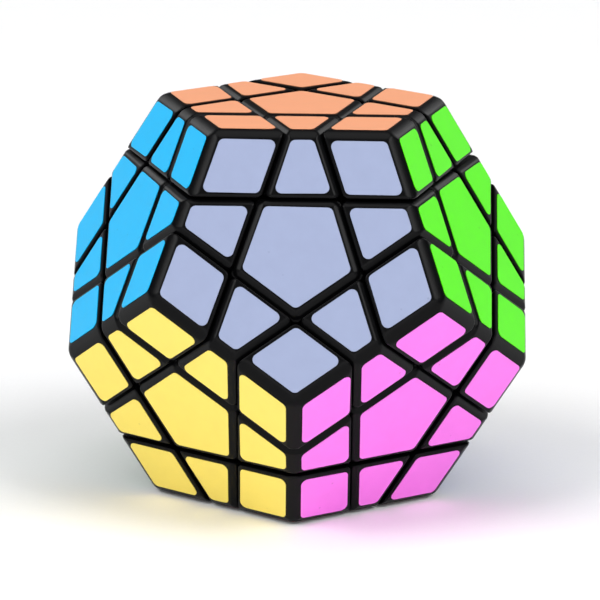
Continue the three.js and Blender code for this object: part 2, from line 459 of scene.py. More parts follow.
class Recipe:
    """A Geometry Nodes tree with named sizes, which works on a mesh and ends in a finished one."""

    def __init__(self, name: str, sizes: dict[str, float]) -> None:
        """Start a tree.

        Args:
            name: The tree's name.
            sizes: Its inputs and their values, lengths in metres.
        """
        self.tree = bpy.data.node_groups.new(name, "GeometryNodeTree")
        face = self.tree.interface
        face.new_socket(name="Geometry", in_out="INPUT", socket_type="NodeSocketGeometry")
        self.sizes = sizes
        self.identifiers = {}
        for label in sizes:
            socket = face.new_socket(name=label, in_out="INPUT", socket_type="NodeSocketFloat")
            self.identifiers[label] = socket.identifier
        face.new_socket(name="Geometry", in_out="OUTPUT", socket_type="NodeSocketGeometry")
        self.given = self.tree.nodes.new("NodeGroupInput")

    def size(self, label: str) -> bpy.types.NodeSocket:
        """The socket of a named input."""
        return self.given.outputs[label]

    def add(self, kind: str, settings: dict[str, Any] | None = None, **inputs: Any) -> bpy.types.NodeSocket:
        """Add a node whose inputs are given by name, with _ for a space, and return its first output."""
        named = {key.replace("_", " "): value for key, value in inputs.items()}
        return add_node(self.tree, kind, settings, named).outputs[0]

    def math(self, operation: str, a: Any, b: Any = 0.0) -> bpy.types.NodeSocket:
        """Work out one number from one or two others."""
        return add_node(self.tree, "ShaderNodeMath", {"operation": operation}, {0: a, 1: b}).outputs[0]

    def vector(self, x: Any = 0.0, y: Any = 0.0, z: Any = 0.0) -> bpy.types.NodeSocket:
        """Put three numbers together."""
        return self.add("ShaderNodeCombineXYZ", X=x, Y=y, Z=z)

    def finish(self, geometry: bpy.types.NodeSocket, material: bpy.types.Material) -> None:
        """End the tree: realise the result, shade it and give it its material.

        Args:
            geometry: What the tree has made.
            material: The finish.
        """
        real = self.add("GeometryNodeRealizeInstances", Geometry=geometry)
        smooth = self.add("GeometryNodeSetShadeSmooth", {"domain": "FACE"}, Geometry=real)
        angle = self.add("GeometryNodeInputMeshEdgeAngle")
        crease = add_node(
            self.tree, "FunctionNodeCompare", {"operation": "GREATER_THAN"}, {0: angle, 1: SHARP_ANGLE}
        ).outputs[0]
        creased = {"Geometry": smooth, "Selection": crease, "Shade Smooth": False}
        shaded = add_node(self.tree, "GeometryNodeSetShadeSmooth", {"domain": "EDGE"}, creased).outputs[0]
        done = self.add("GeometryNodeSetMaterial", Geometry=shaded, Material=material)
        add_node(self.tree, "NodeGroupOutput", {}, {"Geometry": done})

    def apply(self, base: bpy.types.Mesh) -> bpy.types.Mesh:
        """Run the tree on a mesh.

        Args:
            base: The mesh that it works on, which is used up.

        Returns:
            The plain mesh that it makes.
        """
        helper = bpy.data.objects.new("bench", base)
        modifier = helper.modifiers.new("recipe", "NODES")
        modifier.node_group = self.tree
        for label, identifier in self.identifiers.items():
            modifier[identifier] = self.sizes[label]
        bpy.context.scene.collection.objects.link(helper)
        depsgraph = bpy.context.evaluated_depsgraph_get()
        result = bpy.data.meshes.new_from_object(helper.evaluated_get(depsgraph))
        bpy.data.objects.remove(helper)
        bpy.data.meshes.remove(base)
        return result


# --- Finishes ----------------------------------------------------------------------------------------
#
# The sizes of their patterns are in millimetres.


def linear(hex_colour: str) -> Colour:
    """Turn an sRGB hex colour into the linear colour that shaders take.

    Args:
        hex_colour: The colour as #RRGGBB.

    Returns:
        The linear colour, opaque.
    """
    values = [int(hex_colour[i : i + 2], 16) / 255 for i in (1, 3, 5)]
    r, g, b = (v / 12.92 if v <= 0.04045 else ((v + 0.055) / 1.055) ** 2.4 for v in values)
    return (r, g, b, 1.0)


def per_mm(size: float) -> float:
    """The texture scale that gives features of a size in millimetres on coordinates in metres."""
    return 1 / (size * MM)


def shade(colour: Colour, share: float) -> Colour:
    """Darken a colour to a share of its brightness."""
    return tuple(channel * share for channel in colour[:3]) + (1.0,)


def start_material(name: str) -> tuple[bpy.types.Material, bpy.types.NodeSocket]:
    """Make an empty material.

    Args:
        name: The material's name.

    Returns:
        The material, and the Object coordinates that its patterns read.
    """
    material = bpy.data.materials.new(name)
    material.use_nodes = True
    material.node_tree.nodes.clear()
    return material, add_node(material.node_tree, "ShaderNodeTexCoord").outputs["Object"]


def end_material(material: bpy.types.Material, shader: bpy.types.Node) -> bpy.types.Material:
    """Send a shader to the material's output."""
    add_node(material.node_tree, "ShaderNodeOutputMaterial", {}, {"Surface": shader.outputs[0]})
    return material


@dataclass(frozen=True)
class MouldedPlastic:
    """Injection-moulded ABS or nylon: even colour, a fine spark-eroded grain and soft broad highlights."""

    name: str
    colour: str
    smeared: str
    roughness: float
    smoothest: float = -0.04
    roughest: float = 0.05
    grain: float = 0.32
    grain_strength: float = 0.35
    smear: float = 7.0
    relief: float = 0.02
    ior: float = 1.53
    specular: float = 0.09

    def material(self) -> bpy.types.Material:
        """Build the material.

        Returns:
            A plastic whose grain breaks up its highlights. The real grain is about 0.05 mm, which is too
            fine to show, so it is drawn at a third of a millimetre.
        """
        material, place = start_material(self.name)
        tree = material.node_tree
        broad = {"Vector": place, "Scale": per_mm(self.smear), "Detail": 3.0}
        fine = {"Vector": place, "Scale": per_mm(self.grain), "Detail": 2.0}
        smear = add_node(tree, "ShaderNodeTexNoise", {}, broad).outputs["Fac"]
        grain = add_node(tree, "ShaderNodeTexNoise", {}, fine).outputs["Fac"]
        colour = add_node(
            tree, "ShaderNodeMix", RGBA, {0: smear, 6: linear(self.colour), 7: linear(self.smeared)}
        )
        roughness = add_node(
            tree,
            "ShaderNodeMapRange",
            {},
            {0: smear, 3: self.roughness + self.smoothest, 4: self.roughness + self.roughest},
        )
        bump = add_node(
            tree,
            "ShaderNodeBump",
            {},
            {"Height": grain, "Strength": self.grain_strength, "Distance": self.relief * MM},
        )
        shader = add_node(
            tree,
            "ShaderNodeBsdfPrincipled",
            {},
            {
                "Base Color": colour.outputs[2],
                "Roughness": roughness.outputs[0],
                "Normal": bump.outputs[0],
                "IOR": self.ior,
                "Specular IOR Level": self.specular,
            },
        )
        return end_material(material, shader)


@dataclass(frozen=True)
class PrintedVinyl:
    """Die-cut vinyl film, printed in one colour: flat and even, faintly mottled, with a satin face."""

    name: str
    colour: str
    mottle: float = 2.4
    thin_ink: float = 0.93
    waviness: float = 0.02
    wave_strength: float = 0.15
    speck: float = 2.2
    speck_core: float = 0.02
    speck_edge: float = 0.13
    speck_strength: float = 0.4
    speckless: float = 0.86
    dust: float = 0.42
    roughness: float = 0.35
    smoothest: float = -0.03
    roughest: float = 0.05
    ior: float = 1.5
    specular: float = 0.2

    def material(self) -> bpy.types.Material:
        """Build the material.

        Returns:
            A film whose ink varies by a few per cent, with a speck of dust here and there and the faint
            waviness of film laid on plastic.
        """
        material, place = start_material(self.name)
        tree = material.node_tree
        ink = linear(self.colour)
        thin, dust = shade(ink, self.thin_ink), shade(ink, self.dust)
        clouds = {"Vector": place, "Scale": per_mm(self.mottle), "Detail": 4.0}
        mottle = add_node(tree, "ShaderNodeTexNoise", {}, clouds).outputs["Fac"]
        inked = add_node(tree, "ShaderNodeMix", RGBA, {0: mottle, 6: thin, 7: ink}).outputs[2]
        # A speck sits at the middle of a cell, in the few cells whose random colour passes a limit.
        cells = add_node(tree, "ShaderNodeTexVoronoi", {}, {"Vector": place, "Scale": per_mm(self.speck)})
        chance = add_node(tree, "ShaderNodeSeparateColor", {}, {"Color": cells.outputs["Color"]}).outputs[0]
        rare = add_node(
            tree, "ShaderNodeMath", {"operation": "GREATER_THAN"}, {0: chance, 1: self.speckless}
        ).outputs[0]
        near = add_node(
            tree,
            "ShaderNodeMapRange",
            {},
            {
                "Value": cells.outputs["Distance"],
                "From Min": self.speck_core,
                "From Max": self.speck_edge,
                "To Min": self.speck_strength,
                "To Max": 0.0,
            },
        ).outputs[0]
        speck = add_node(tree, "ShaderNodeMath", {"operation": "MULTIPLY"}, {0: near, 1: rare}).outputs[0]
        colour = add_node(tree, "ShaderNodeMix", RGBA, {0: speck, 6: inked, 7: dust})
        roughness = add_node(
            tree,
            "ShaderNodeMapRange",
            {},
            {0: mottle, 3: self.roughness + self.smoothest, 4: self.roughness + self.roughest},
        )
        bump = add_node(
            tree,
            "ShaderNodeBump",
            {},
            {"Height": mottle, "Strength": self.wave_strength, "Distance": self.waviness * MM},
        )
        shader = add_node(
            tree,
            "ShaderNodeBsdfPrincipled",
            {},
            {
                "Base Color": colour.outputs[2],
                "Roughness": roughness.outputs[0],
                "Normal": bump.outputs[0],
                "IOR": self.ior,
                "Specular IOR Level": self.specular,
            },
        )
        return end_material(material, shader)


@dataclass(frozen=True)
class PlatedSteel:
    """Zinc-plated or drawn steel: a bright grey metal with fine cloudy marks."""

    name: str
    colour: str
    dull: str
    roughness: float
    smoothest: float = -0.06
    roughest: float = 0.08
    cloud: float = 0.6

    def material(self) -> bpy.types.Material:
        """Build the material.

        Returns:
            A metal whose surface clouds from bright to dull.
        """
        material, place = start_material(self.name)
        tree = material.node_tree
        clouds = {"Vector": place, "Scale": per_mm(self.cloud), "Detail": 4.0}
        cloud = add_node(tree, "ShaderNodeTexNoise", {}, clouds).outputs["Fac"]
        colour = add_node(
            tree, "ShaderNodeMix", RGBA, {0: cloud, 6: linear(self.dull), 7: linear(self.colour)}
        )
        roughness = add_node(
            tree,
            "ShaderNodeMapRange",
            {},
            {0: cloud, 3: self.roughness + self.roughest, 4: self.roughness + self.smoothest},
        )
        shader = add_node(
            tree,
            "ShaderNodeBsdfPrincipled",
            {},
            {"Base Color": colour.outputs[2], "Roughness": roughness.outputs[0], "Metallic": 1.0},
        )
        return end_material(material, shader)


SHELL_ABS = MouldedPlastic("injection_moulded_black_abs", "#040405", "#080809", 0.3)
CORE_NYLON = MouldedPlastic("injection_moulded_grey_nylon", "#26282B", "#303336", 0.5)
SCREW_STEEL = PlatedSteel("zinc_plated_screw_steel", "#C9CCD1", "#9EA2A8", 0.3)
SPRING_STEEL = PlatedSteel("drawn_spring_steel", "#B4B4B6", "#85868A", 0.26)


class Ink(Enum):
    """The colour of the film on each face, by the record's slot for it."""

    U = ("sticker_orange", "#FCAE84")
    F = ("sticker_lavender_grey", "#98A2C0")
    R = ("sticker_lime", "#5FF80A")
    L = ("sticker_light_blue", "#0ABFFB")
    DR = ("sticker_pink", "#FF83F0")
    DL = ("sticker_pale_yellow", "#FFE76F")
    DBL = ("sticker_dark_green", "#0E6B35")
    DBR = ("sticker_dark_blue", "#1B3FA0")
    DB = ("sticker_white", "#F1F1EE")
    BR = ("sticker_golden_yellow", "#FFC21A")
    BL = ("sticker_purple", "#6C2FA0")
    D = ("sticker_red", "#D3202A")

    @property
    def slot(self) -> str:
        """The record's material slot."""
        return self.value[0]

    @property
    def vinyl(self) -> PrintedVinyl:
        """The finish of this colour."""
        return PrintedVinyl(f"printed_vinyl_{self.slot.removeprefix('sticker_')}", self.value[1])


# --- The pieces --------------------------------------------------------------------------------------


@dataclass
class Shell:
    """The moulded pieces that show, cut from the dodecahedron by its layers."""

    sizes: Proportions
    ridge: float = 1.62
    groove: float = 0.85
    wall_edge: float = 1.0
    hidden_edge: float = 0.35

    def tangent(self, a: Wall, b: Wall) -> float:
        """Say how far from an edge its rounding starts.

        Args:
            a: One of the walls that meet there.
            b: The other.

        Returns:
            The distance in millimetres.
        """
        if Wall.UNDER in (a, b):
            return self.hidden_edge
        if a is Wall.TOP and b is Wall.TOP:
            return self.ridge
        return self.groove if Wall.TOP in (a, b) else self.wall_edge

    def flats(self, faces: Sequence[Face], top: float) -> list[Flat]:
        """List the planes of the block that lies in some layers and in no other.

        Args:
            faces: The layers' faces.
            top: How high the block stands on each of them.

        Returns:
            The planes.
        """
        half = self.sizes.gap / 2
        tops = [Flat(face.normal, top, Wall.TOP) for face in faces]
        inner = [Flat(-face.normal, -(self.sizes.cut_height + half), Wall.CUT) for face in faces]
        others = [face for face in Face if face not in faces]
        outer = [Flat(face.normal, self.sizes.cut_height - half, Wall.CUT) for face in others]
        return tops + inner + outer

    def foot_cone(self, face: Face, offset: float, steps: int = 96) -> bpy.types.Mesh:
        """Make the cone that bounds a layer's feet.

        Args:
            face: The layer's face.
            offset: How far its side is moved outwards.
            steps: How many sides it has.

        Returns:
            A closed mesh, with its apex near the centre.
        """
        height = self.sizes.beyond
        apex = -offset / math.sin(self.sizes.hook_angle)
        radius = height * math.tan(self.sizes.hook_angle)
        return lathed([(0, apex), (radius, apex + height), (0, apex + height)], steps, face.normal)

    def hooked(self, faces: Sequence[Face]) -> bpy.types.Mesh:
        """Make an edge or a corner: its rounded head, its neck and the foot that hooks under others.

        Args:
            faces: The two or three faces that it shows on.

        Returns:
            The shaded mesh, in millimetres.
        """
        sizes = self.sizes
        half = sizes.gap / 2
        outwards = sum((face.normal for face in faces), Vector()).normalized()

        def block() -> bpy.types.Mesh:
            """The rounded block from which head and neck are cut."""
            return rounded_block(self.flats(faces, sizes.inradius), self.tangent)

        head = combine(block(), "INTERSECT", slab(outwards, sizes.foot_ball + half, sizes.beyond))
        neck = combine(block(), "INTERSECT", slab(outwards, 0, sizes.foot_ball + sizes.gap))
        foot = combine(neck, "UNION", ball(sizes.foot_ball - half))
        foot = combine(foot, "INTERSECT", slab(outwards, sizes.core_ball + half, sizes.beyond))
        foot = combine(foot, "INTERSECT", *(self.foot_cone(face, -half) for face in faces))
        others = [face for face in faces[0].neighbours if face not in faces]
        foot = combine(foot, "DIFFERENCE", *(self.foot_cone(face, half) for face in others))
        return smoothed(combine(head, "UNION", foot))

    def build(self, material: bpy.types.Material) -> None:
        """Make the thirty edges and the twenty corners.

        Args:
            material: Their finish.
        """
        for kind, count in (("edge", 2), ("corner", 3)):
            places = faces_of(count)
            order = in_turn if count == 3 else tuple
            pattern = self.hooked(order(places[0]))
            for faces in places:
                mesh = pattern.copy()
                mesh.transform(BRING_TO_METRES @ turn_between(order(places[0]), order(faces)))
                name = "_".join([kind, *(face.name for face in faces)])
                add_piece(f"{name}_moulding", mesh, material, Body.of(faces), "shell_plastic", name)
            log.info("%d %s mouldings, %d faces each", len(places), kind, len(pattern.polygons))
            bpy.data.meshes.remove(pattern)


@dataclass
class Centres:
    """The twelve centres: a plate on a bored stalk, and the cap that closes it."""

    shell: Shell
    stalk_wall: float = 1.3
    spring_seat: float = 1.8
    spigot_length: float = 1.0
    spigot_wall: float = 0.9
    shaft_radius: float = 1.3
    plate_edge: float = 0.8
    plate_rim: float = 0.2
    seat_edge: float = 0.12
    stalk_sunk: float = 0.1

    @property
    def bore_radius(self) -> float:
        """The spring's bore."""
        return self.shell.sizes.stalk_radius - self.stalk_wall

    @property
    def bore_floor(self) -> float:
        """The height that the spring stands on."""
        return self.shell.sizes.core_ball + self.shell.sizes.gap / 2 + self.spring_seat

    def plate(self, face: Face) -> bpy.types.Mesh:
        """Make the plate and its stalk.

        Args:
            face: The face that it is under.

        Returns:
            The shaded mesh, in millimetres.
        """
        sizes = self.shell.sizes
        half = sizes.gap / 2
        top = sizes.cap_seat - sizes.clearance
        flats = self.shell.flats([face], top)
        block = rounded_block(flats, lambda a, b: self.plate_edge if a is b else self.plate_rim)
        plate = combine(block, "DIFFERENCE", ball(sizes.foot_ball + half))
        stalk = rod(sizes.stalk_radius, 0, top - self.stalk_sunk, face.normal)
        stalk = combine(stalk, "DIFFERENCE", ball(sizes.core_ball + half))
        whole = combine(plate, "UNION", stalk)
        bore = rod(self.bore_radius, self.bore_floor, 2 * top, face.normal)
        hole = rod(self.shaft_radius + sizes.clearance, 0, 2 * top, face.normal)
        return smoothed(combine(whole, "DIFFERENCE", bore, hole))

    def cap(self, face: Face) -> bpy.types.Mesh:
        """Make the cap: a five-sided tile with a ring that drops into the bore.

        Args:
            face: The face that it closes.

        Returns:
            The shaded mesh, in millimetres.
        """

        def tangent(a: Wall, b: Wall) -> float:
            """The shell's roundings, but a finer one round the seat."""
            return self.seat_edge if Wall.UNDER in (a, b) else self.shell.tangent(a, b)

        sizes = self.shell.sizes
        # The seat takes the place of the planes that face straight back: the layer's cut and the far layer's.
        flats = self.shell.flats([face], sizes.inradius)
        flats = [flat for flat in flats if not math.isclose(flat.normal.dot(face.normal), -1, abs_tol=0.01)]
        flats.append(Flat(-face.normal, -sizes.cap_seat, Wall.UNDER))
        tile = rounded_block(flats, tangent)
        outside = self.bore_radius - sizes.clearance
        low = sizes.cap_seat - self.spigot_length
        spigot = rod(outside, low, sizes.cap_seat + sizes.cap_thickness / 2, face.normal)
        hollow = rod(outside - self.spigot_wall, 0, sizes.cap_seat, face.normal)
        return smoothed(combine(combine(tile, "UNION", spigot), "DIFFERENCE", hollow))

    def build(self, material: bpy.types.Material) -> None:
        """Make the twelve plates and the twelve caps.

        Args:
            material: Their finish.
        """
        for kind, pattern in (("centre", self.plate(Face.U)), ("centre_cap", self.cap(Face.U))):
            for face in Face:
                start = (Face.U, Face.U.neighbours[0])
                mesh = pattern.copy()
                mesh.transform(BRING_TO_METRES @ turn_between(start, (face, face.neighbours[0])))
                body = Body.of([face])
                node = "core_with_fixed_centres" if body is Body.CORE else f"{kind}_{face.name}"
                add_piece(f"{kind}_{face.name}_moulding", mesh, material, body, "shell_plastic", node)
            log.info("12 %s mouldings, %d faces each", kind, len(pattern.polygons))
            bpy.data.meshes.remove(pattern)


@dataclass
class Hardware:
    """What holds the centres to the core: screws, washers and springs, and the core itself."""

    centres: Centres
    head_height: float = 1.6
    head_clearance: float = 0.4
    slot_width: float = 0.8
    slot_depth: float = 0.9
    thread_pitch: float = 0.8
    thread_depth: float = 0.22
    washer_thickness: float = 0.4
    washer_hole_play: float = 0.15
    washer_rim_play: float = 0.35
    wire: float = 0.26
    coils: float = 3.5
    core_wall: float = 3.0
    boss_radius: float = 3.6
    boss_length: float = 5.0

    # Shares of the size that each is drawn from.
    shoulder: float = 0.3  # how far down the head its crown starts, of the head's height
    crown: float = 0.86  # the top of the head, of its radius
    tip: float = 0.3  # the screw's end, of the shaft's radius
    slot_length: float = 1.2  # a side of the cross slot, of the head's radius
    thread_end: float = 0.96  # where the thread ends, of the screw's length
    plain_shank: float = 3.5  # the head and the shank above the thread, of the head's height
    wire_lift: float = 1.1  # the wire's middle above what the spring stands on, of the wire's radius
    drawn_ends: float = 0.55  # how far the end coils are drawn together, 0 for an even spring

    @property
    def head_top(self) -> float:
        """The height of the screws' heads."""
        seat = self.centres.shell.sizes.cap_seat
        return seat - self.centres.spigot_length - self.head_clearance

    @property
    def core_radius(self) -> float:
        """The core's outside."""
        return self.centres.shell.sizes.core_ball - self.centres.shell.sizes.gap / 2

    @property
    def boss_end(self) -> float:
        """The height of the bosses' inner ends."""
        return self.core_radius - self.core_wall - self.boss_length

    def axes(self, faces: Iterable[Face], height: float) -> bpy.types.Mesh:
        """Make the points that a recipe stands things on.

        Args:
            faces: The faces that each have a point on their axis.
            height: How far out the points are, in millimetres.

        Returns:
            A mesh of loose points, in metres.
        """
        mesh = bpy.data.meshes.new("axes")
        mesh.from_pydata([face.normal * height * MM for face in faces], [], [])
        return mesh

    def stand(self, recipe: Recipe, shape: bpy.types.NodeSocket, material: bpy.types.Material) -> None:
        """End a recipe with its shape standing on each point, +Z outwards."""
        recipe.finish(self.standing(recipe, shape), material)

    def standing(self, recipe: Recipe, shape: bpy.types.NodeSocket) -> bpy.types.NodeSocket:
        """Stand a shape on each of a recipe's points.

        Args:
            recipe: The recipe.
            shape: What stands there.

        Returns:
            The shapes, each with +Z outwards.
        """
        outwards = recipe.add("GeometryNodeInputPosition")
        turn = recipe.add("FunctionNodeAlignRotationToVector", {"axis": "Z"}, Vector=outwards)
        points = recipe.given.outputs["Geometry"]
        return recipe.add("GeometryNodeInstanceOnPoints", Points=points, Instance=shape, Rotation=turn)

    def moved(self, recipe: Recipe, shape: bpy.types.NodeSocket, z: Any) -> bpy.types.NodeSocket:
        """Move a shape along Z."""
        return recipe.add("GeometryNodeTransform", Geometry=shape, Translation=recipe.vector(z=z))

    def column(
        self, recipe: Recipe, radius: Any, top_radius: Any, low: Any, high: Any, steps: int = 28
    ) -> bpy.types.NodeSocket:
        """Make a round column, straight or tapered.

        Args:
            recipe: The recipe that it's part of.
            radius: Its radius at the bottom.
            top_radius: Its radius at the top.
            low: The height of its bottom.
            high: The height of its top.
            steps: How many sides it has.

        Returns:
            A closed mesh.
        """
        depth = recipe.math("SUBTRACT", high, low)
        cone = recipe.add(
            "GeometryNodeMeshCone",
            {"fill_type": "NGON"},
            Vertices=steps,
            Radius_Top=top_radius,
            Radius_Bottom=radius,
            Depth=depth,
        )
        return self.moved(recipe, cone, low)

    def boolean(self, recipe: Recipe, operation: str, first: Any, others: Any) -> bpy.types.NodeSocket:
        """Join or cut closed meshes inside a recipe.

        Args:
            recipe: The recipe.
            operation: UNION or DIFFERENCE.
            first: The mesh to start from.
            others: The meshes to do it with.

        Returns:
            A closed mesh.
        """
        settings = {"operation": operation, "solver": "MANIFOLD"}
        if operation == "UNION":
            inputs = {"Mesh 2": [first, *others]}
        else:
            inputs = {"Mesh 1": first, "Mesh 2": list(others)}
        return add_node(recipe.tree, "GeometryNodeMeshBoolean", settings, inputs).outputs[0]

    def screw(self, material: bpy.types.Material) -> Recipe:
        """A pan-head screw whose head's top is at z = 0: shaft, thread, head and cross slot.

        Args:
            material: The finish.

        Returns:
            The recipe.
        """
        shaft = self.centres.shaft_radius
        head = self.centres.bore_radius - self.head_clearance
        end = self.boss_end + self.centres.shell.sizes.clearance
        recipe = Recipe(
            "centre_screw",
            {
                "Shaft Radius": (shaft - self.thread_depth) * MM,
                "Head Radius": head * MM,
                "Head Height": self.head_height * MM,
                "Length": (self.head_top - end) * MM,
                "Slot Width": self.slot_width * MM,
                "Slot Depth": self.slot_depth * MM,
                "Thread Pitch": self.thread_pitch * MM,
                "Thread Depth": self.thread_depth * MM,
            },
        )
        radius, wide, tall = (recipe.size(label) for label in ("Shaft Radius", "Head Radius", "Head Height"))
        neck = recipe.math("MULTIPLY", tall, -1.0)
        shoulder = recipe.math("MULTIPLY", tall, -self.shoulder)
        crown = recipe.math("MULTIPLY", wide, self.crown)
        foot = recipe.math("MULTIPLY", recipe.size("Length"), -1.0)
        point = recipe.math("ADD", foot, radius)
        inside = recipe.math("MULTIPLY", neck, 0.5)
        tip_radius = recipe.math("MULTIPLY", radius, self.tip)
        body = self.boolean(
            recipe,
            "UNION",
            self.column(recipe, radius, radius, point, inside),
            [
                self.column(recipe, tip_radius, radius, foot, point),
                self.column(recipe, wide, wide, neck, shoulder),
                self.column(recipe, wide, crown, shoulder, 0.0),
            ],
        )
        slots = []
        long_side = recipe.math("MULTIPLY", wide, self.slot_length)
        double = recipe.math("MULTIPLY", recipe.size("Slot Depth"), 2.0)
        for sides in ((long_side, recipe.size("Slot Width")), (recipe.size("Slot Width"), long_side)):
            slots.append(recipe.add("GeometryNodeMeshCube", Size=recipe.vector(*sides, double)))
        body = self.boolean(recipe, "DIFFERENCE", body, slots)
        low = recipe.math("MULTIPLY", foot, self.thread_end)
        shank = recipe.math("MULTIPLY", tall, self.plain_shank)
        run = recipe.math("SUBTRACT", recipe.math("MULTIPLY", low, -1.0), shank)
        spiral = recipe.add(
            "GeometryNodeCurveSpiral",
            Resolution=20,
            Rotations=recipe.math("DIVIDE", run, recipe.size("Thread Pitch")),
            Start_Radius=radius,
            End_Radius=radius,
            Height=run,
        )
        depth = recipe.size("Thread Depth")
        tooth = recipe.add("GeometryNodeCurvePrimitiveCircle", Resolution=3, Radius=depth)
        thread = recipe.add("GeometryNodeCurveToMesh", Curve=spiral, Profile_Curve=tooth, Fill_Caps=True)
        joined = recipe.add("GeometryNodeJoinGeometry", Geometry=[body, self.moved(recipe, thread, low)])
        self.stand(recipe, joined, material)
        return recipe

    def washer(self, material: bpy.types.Material) -> Recipe:
        """A flat washer whose top is at z = 0.

        Args:
            material: The finish.

        Returns:
            The recipe.
        """
        inner = self.centres.shaft_radius + self.washer_hole_play
        outer = self.centres.bore_radius - self.washer_rim_play
        recipe = Recipe(
            "spring_washer_plate",
            {
                "Middle Radius": (inner + outer) / 2 * MM,
                "Width": (outer - inner) * MM,
                "Thickness": self.washer_thickness * MM,
            },
        )
        middle, width, thickness = (recipe.size(label) for label in recipe.sizes)
        ring = recipe.add("GeometryNodeCurvePrimitiveCircle", Resolution=36, Radius=middle)
        section = recipe.add("GeometryNodeCurvePrimitiveQuadrilateral", Width=width, Height=thickness)
        plate = recipe.add("GeometryNodeCurveToMesh", Curve=ring, Profile_Curve=section, Fill_Caps=True)
        sunk = recipe.math("MULTIPLY", thickness, -0.5)
        self.stand(recipe, self.moved(recipe, plate, sunk), material)
        return recipe

    def spring(self, material: bpy.types.Material) -> Recipe:
        """A compression spring that stands on z = 0, its end coils drawn together.

        Args:
            material: The finish.

        Returns:
            The recipe.
        """
        height = self.head_top - self.head_height - self.washer_thickness - self.centres.bore_floor
        recipe = Recipe(
            "compression_spring",
            {
                "Wire Radius": self.wire * MM,
                "Coil Radius": (self.centres.shaft_radius + self.centres.bore_radius) / 2 * MM,
                "Height": height * MM,
                "Turns": self.coils,
            },
        )
        wire, coil_radius, tall, turns = (recipe.size(label) for label in recipe.sizes)
        travel = recipe.math("SUBTRACT", tall, recipe.math("MULTIPLY", wire, 2 * self.wire_lift))
        spiral = recipe.add(
            "GeometryNodeCurveSpiral",
            Resolution=28,
            Rotations=turns,
            Start_Radius=coil_radius,
            End_Radius=coil_radius,
            Height=travel,
        )
        # A climb that starts and ends gently draws the end coils together.
        along_wire = recipe.add("GeometryNodeSplineParameter")
        eased = add_node(
            recipe.tree, "ShaderNodeMapRange", {"interpolation_type": "SMOOTHSTEP"}, {"Value": along_wire}
        ).outputs[0]
        lift = recipe.math("MULTIPLY", recipe.math("SUBTRACT", eased, along_wire), travel)
        eased_lift = recipe.math("MULTIPLY", lift, self.drawn_ends)
        drawn = recipe.add("GeometryNodeSetPosition", Geometry=spiral, Offset=recipe.vector(z=eased_lift))
        section = recipe.add("GeometryNodeCurvePrimitiveCircle", Resolution=10, Radius=wire)
        coil = recipe.add("GeometryNodeCurveToMesh", Curve=drawn, Profile_Curve=section, Fill_Caps=True)
        self.stand(recipe, self.moved(recipe, coil, recipe.math("MULTIPLY", wire, self.wire_lift)), material)
        return recipe

    def core(self, material: bpy.types.Material) -> Recipe:
        """The hollow ball with a bored boss for each screw, inside it and in line with each point.

        Args:
            material: The finish.

        Returns:
            The recipe, which works on a point at the boss's inner end on each axis.
        """
        hole = self.centres.shaft_radius + self.centres.shell.sizes.clearance
        recipe = Recipe(
            "hollow_core",
            {
                "Radius": self.core_radius * MM,
                "Wall": self.core_wall * MM,
                "Boss Radius": self.boss_radius * MM,
                "Boss Length": self.boss_length * MM,
                "Hole Radius": hole * MM,
            },
        )
        radius, wall, boss_radius, boss_length, hole_radius = (recipe.size(label) for label in recipe.sizes)
        outside = recipe.add("GeometryNodeMeshUVSphere", Segments=72, Rings=36, Radius=radius)
        hollow = recipe.math("SUBTRACT", radius, wall)
        inside = recipe.add("GeometryNodeMeshUVSphere", Segments=72, Rings=36, Radius=hollow)
        reach = recipe.math("ADD", boss_length, recipe.math("MULTIPLY", wall, 0.5))
        below = recipe.math("MULTIPLY", wall, -1.0)
        through = recipe.math("MULTIPLY", reach, 3.0)
        boss = self.column(recipe, boss_radius, boss_radius, 0.0, reach)
        bore = self.column(recipe, hole_radius, hole_radius, below, through)
        bosses, bores = (
            recipe.add("GeometryNodeRealizeInstances", Geometry=self.standing(recipe, shape))
            for shape in (boss, bore)
        )
        shell = self.boolean(recipe, "DIFFERENCE", outside, [inside])
        whole = self.boolean(recipe, "UNION", shell, [bosses])
        recipe.finish(self.boolean(recipe, "DIFFERENCE", whole, [bores]), material)
        return recipe

    def build(self, plastic: bpy.types.Material, steel: bpy.types.Material, wire: bpy.types.Material) -> None:
        """Make the core, and the screws, washers and springs of each body.

        Args:
            plastic: The core's finish.
            steel: The finish of the screws and washers.
            wire: The springs' finish.
        """
        core = self.core(plastic).apply(self.axes(Face, self.boss_end))
        add_piece("core_ball", core, plastic, Body.CORE, "core_plastic", "core_with_fixed_centres")
        log.info("core ball, %d faces", len(core.polygons))
        washer_top = self.head_top - self.head_height
        kinds = (
            ("centre_screw", "steel", self.screw(steel), self.head_top, steel),
            ("washer", "steel", self.washer(steel), washer_top, steel),
            ("spring", "wire", self.spring(wire), self.centres.bore_floor, wire),
        )
        for kind, stock, recipe, height, material in kinds:
            for body in Body:
                faces = [face for face in Face if Body.of([face]) is body]
                mesh = recipe.apply(self.axes(faces, height))
                name, node = f"{kind}_{body.name}_{stock}", f"centre_screw_{body.name}"
                if body is Body.CORE:
                    name, node = f"{kind}s_core", "core_with_fixed_centres"
                add_piece(name, mesh, material, body, "screw_steel", node)
            log.info("12 of %s", kind)


